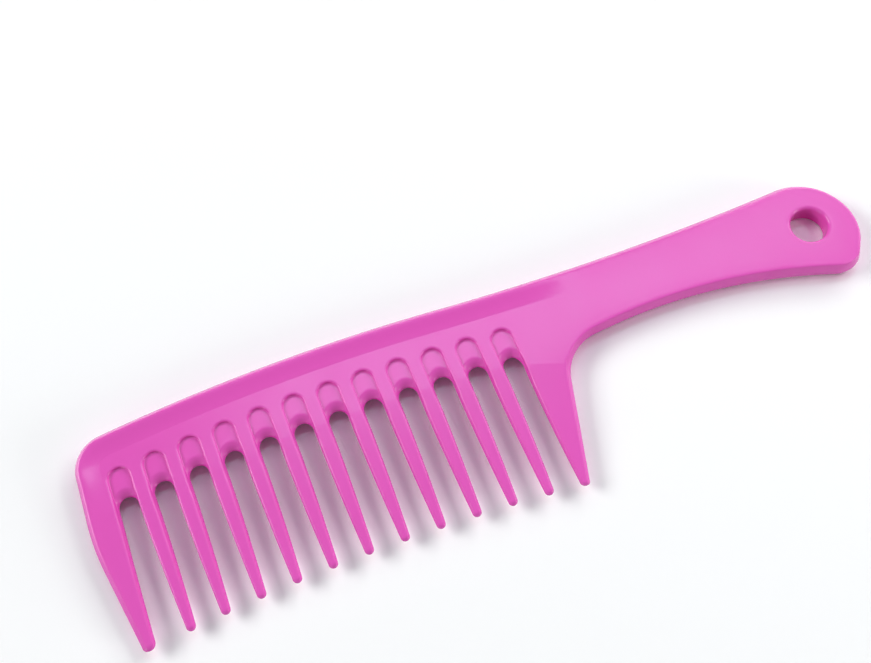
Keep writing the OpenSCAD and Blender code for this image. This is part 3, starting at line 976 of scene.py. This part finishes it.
def tooth_tree():
    """A tube whose sections run from the plate's stepped side to a round tip."""
    group = bpy.data.node_groups.new("comb_tooth", "GeometryNodeTree")
    identifiers = tooth_sockets(group)
    tree = Tree(group)
    given = tree.node("NodeGroupInput").outputs
    size = {name: tree.number(given[name]) for name in tooth_sizes}
    tube = tree.node("GeometryNodeMeshCylinder", {"fill_type": "NGON"}, {
        "Vertices": tooth_sides, "Side Segments": tooth_rows, "Radius": 1.0, "Depth": 1.0})
    across_at, up_at, along_at = tree.parts(tree.node("GeometryNodeInputPosition").outputs[0])
    along = along_at + 0.5
    down_body = (along / tooth_body_share).clamped()
    down_tip = ((along - tooth_body_share) / (1 - tooth_body_share)).clamped()
    # The turn round the section is 0 at the middle of a side and 1 at the middle of the top
    turn = up_at.math("ARCTAN2", up_at.size(), across_at.size()) / (math.pi / 2)
    across, upward = tooth_section(size, down_body, turn)
    right, up = across_at.above(0.0) * 2.0 - 1.0, up_at.above(0.0) * 2.0 - 1.0
    # The tip rounds over in plan and in thickness
    tip_turn = down_tip * (math.pi / 2)
    shrink = tip_turn.cosine()
    reach_on = size["Tip Width"] * 0.5 * tip_turn.sine()
    tilt = size["Root Tilt"] * (1.0 - down_body)
    side_x = across * right * shrink
    root_x, root_y, _ = tree.parts(given["Root"])
    tip_x, tip_y, _ = tree.parts(given["Tip"])
    moved = tree.node("ShaderNodeCombineXYZ", values={
        "X": root_x + (tip_x - root_x) * down_body + side_x * tilt.cosine(),
        "Y": root_y + (tip_y - root_y) * down_body + side_x * tilt.sine() - reach_on,
        "Z": size["Mid Height"] + upward * up * shrink})
    shaped = tree.node("GeometryNodeSetPosition", values={
        "Geometry": tube.outputs["Mesh"], "Position": moved.outputs[0]})
    merged = tree.node("GeometryNodeMergeByDistance", values={
        "Geometry": shaped.outputs[0], "Distance": tooth_weld * MM})
    real = tree.node("GeometryNodeRealizeInstances", values={"Geometry": merged.outputs[0]})
    dressed = tree.node("GeometryNodeSetMaterial", values={
        "Geometry": real.outputs[0], "Material": given["Material"]})
    tree.node("NodeGroupOutput", values={"Geometry": dressed.outputs[0]})
    return group, identifiers


tooth_group, tooth_inputs = tooth_tree()


def make_inner_tooth(tooth):
    left, right = gap_end(tooth - 1), gap_end(tooth)
    lead = tip_lead + first_tip_lead * next_lead_share ** (tooth - first_inner)
    root, tip = (left + right) / 2, tip_point(tooth) + [lead, tooth_tip_width / 2]
    run = np.linalg.norm(tip - root)
    values = {
        "Root": (*(root * MM), 0.0), "Tip": (*(tip * MM), 0.0),
        "Root Width": (np.linalg.norm(right - left) - gap_width) * MM,
        "Root Tilt": direction(right - left), "Tip Width": tooth_tip_width * MM,
        "Root Half Thickness": half_plate * MM, "Tip Half Thickness": tip_half * MM,
        "Mid Height": half * MM, "Edge Reach": fine_tooth_reach * MM,
        "Edge Land": tooth_land_share, "Taper Power": tooth_taper_power,
        "Ledge": (channel_width - gap_width) / 2 * MM, "Web Radius": half_web * MM,
        "Step Fade": run / step_fade, "Wall Rounding": wall_rounding * MM,
        "Wall Round Share": wall_round_share, "Edge Roll": tooth_roll * MM, "Roll Drop": tooth_roll_drop,
        "Wall Power": wall_power, "Material": plastic}
    name = f"tooth_{tooth:02d}"
    host = bpy.data.objects.new(name + "_form", bpy.data.meshes.new(name + "_form"))
    bpy.context.scene.collection.objects.link(host)
    modifier = host.modifiers.new("tooth", "NODES")
    modifier.node_group = tooth_group
    for label, value in values.items():
        modifier[tooth_inputs[label]] = value
    evaluated = host.evaluated_get(bpy.context.evaluated_depsgraph_get())
    mesh = bpy.data.meshes.new_from_object(evaluated)
    host.modifiers.remove(modifier)
    bpy.data.objects.remove(host)
    return finish_piece(name, mesh, plastic)


make_spine()
make_head_plate()
make_front_guard()
make_rear_guard()
make_handle()
make_hang_eye()
for tooth_number in range(first_inner, tooth_count):
    make_inner_tooth(tooth_number)


# Table, light and camera: places in metres, and the camera's focal length in picture pixels
world_light = 0.08
table_reach = 3.0
table_glow = 0.02
lit_white = (0.8, 0.8, 0.8, 1.0)
full_white = (1.0, 1.0, 1.0, 1.0)
warm, cool = (1.0, 0.99, 0.99), (0.65, 0.88, 1.0)
comb_middle = (0.0, 0.0, 0.0)
picture_width, focal_pixels = 871, 1080.86
sensor_width = 36.0
camera_shift = (0.00238, -0.0080)
camera_range = (0.01, 20.0)
camera_place = Vector((-0.03994, -0.09479, 0.29819))
camera_aim = Vector((-0.00984, 0.02773, 0.0035))
camera_roll = math.radians(-7.03)


def seen_directly(tree):
    """1 for camera, glossy and transmission rays, 0 for the other rays, which light things."""
    path = tree.node("ShaderNodeLightPath")
    kinds = ("Camera", "Glossy", "Transmission")
    rays = [tree.number(path.outputs[f"Is {kind} Ray"]) for kind in kinds]
    return rays[0].most(rays[1]).most(rays[2])


def table_white():
    """Matt white that shows a little brighter to the camera than it lights the comb."""
    material = bpy.data.materials.new("white_table")
    tree = empty_tree(material)
    seen = seen_directly(tree)
    matt = tree.node("ShaderNodeBsdfDiffuse", values={"Color": tree.blend(seen, lit_white, full_white)})
    glow = tree.node("ShaderNodeEmission", values={"Color": full_white, "Strength": seen * table_glow})
    both = tree.node("ShaderNodeAddShader", values={0: matt.outputs[0], 1: glow.outputs[0]})
    tree.node("ShaderNodeOutputMaterial", values={"Surface": both.outputs[0]})
    return material


def make_table():
    mesh = bpy.data.meshes.new("table")
    signs = [(-1, -1), (1, -1), (1, 1), (-1, 1)]
    mesh.from_pydata([(x * table_reach, y * table_reach, 0) for x, y in signs], [], [(0, 1, 2, 3)])
    mesh.materials.append(table_white())
    table = bpy.data.objects.new("table", mesh)
    bpy.context.scene.collection.objects.link(table)


def make_world():
    """White all round, bright to the camera and in reflections, and dim as a light."""
    world = bpy.data.worlds.new("studio")
    tree = empty_tree(world)
    strength = world_light + seen_directly(tree) * (1.0 - world_light)
    sky = tree.node("ShaderNodeBackground", values={"Color": full_white, "Strength": strength})
    tree.node("ShaderNodeOutputWorld", values={"Surface": sky.outputs[0]})
    bpy.context.scene.world = world


def make_lamp(name, location, target, size, power, colour=warm):
    """A flat panel lamp: where it hangs, where it points, its sides and its power in watts."""
    data = bpy.data.lights.new(name, "AREA")
    data.shape, data.size, data.size_y = "RECTANGLE", size[0], size[1]
    data.energy, data.color = power, colour
    lamp = bpy.data.objects.new(name, data)
    bpy.context.scene.collection.objects.link(lamp)
    lamp.location = location
    lamp.rotation_mode = "QUATERNION"
    lamp.rotation_quaternion = (Vector(target) - Vector(location)).to_track_quat("-Z", "Y")
    return lamp


def make_camera():
    """The photograph's own view: from above the teeth's side, turned a little clockwise."""
    data = bpy.data.cameras.new("camera")
    data.sensor_width = sensor_width
    data.lens = focal_pixels / picture_width * sensor_width
    data.shift_x, data.shift_y = camera_shift
    data.clip_start, data.clip_end = camera_range
    camera = bpy.data.objects.new("camera", data)
    bpy.context.scene.collection.objects.link(camera)
    facing = (camera_aim - camera_place).to_track_quat("-Z", "Y")
    camera.location = camera_place
    camera.rotation_mode = "QUATERNION"
    camera.rotation_quaternion = facing @ Quaternion((0, 0, 1), camera_roll)
    bpy.context.scene.camera = camera


make_table()
make_world()
make_lamp("back panel", (0.40, 0.70, 1.80), (0.40, 0.70, 0.0), (1.36, 0.26), 5.4, cool)
make_lamp("far panel", (0.20, 1.60, 1.10), comb_middle, (1.8, 0.6), 4.0)
make_lamp("left softbox", (-1.62, 0.84, 1.25), comb_middle, (1.3, 0.8), 31.0)
make_lamp("right softbox", (1.58, 1.00, 1.20), comb_middle, (2.0, 1.0), 26.0)
make_lamp("left front fill", (-1.7, -0.9, 0.40), comb_middle, (0.6, 0.6), 6.0)
make_lamp("right front fill", (1.5, -1.2, 0.40), comb_middle, (0.6, 0.6), 16.0)
make_lamp("eye lamp", (0.29, -0.03, 0.34), (0.12, 0.02, 0.0), (0.08, 0.08), 0.16)
make_camera()
bpy.context.scene.view_settings.view_transform = "Standard"
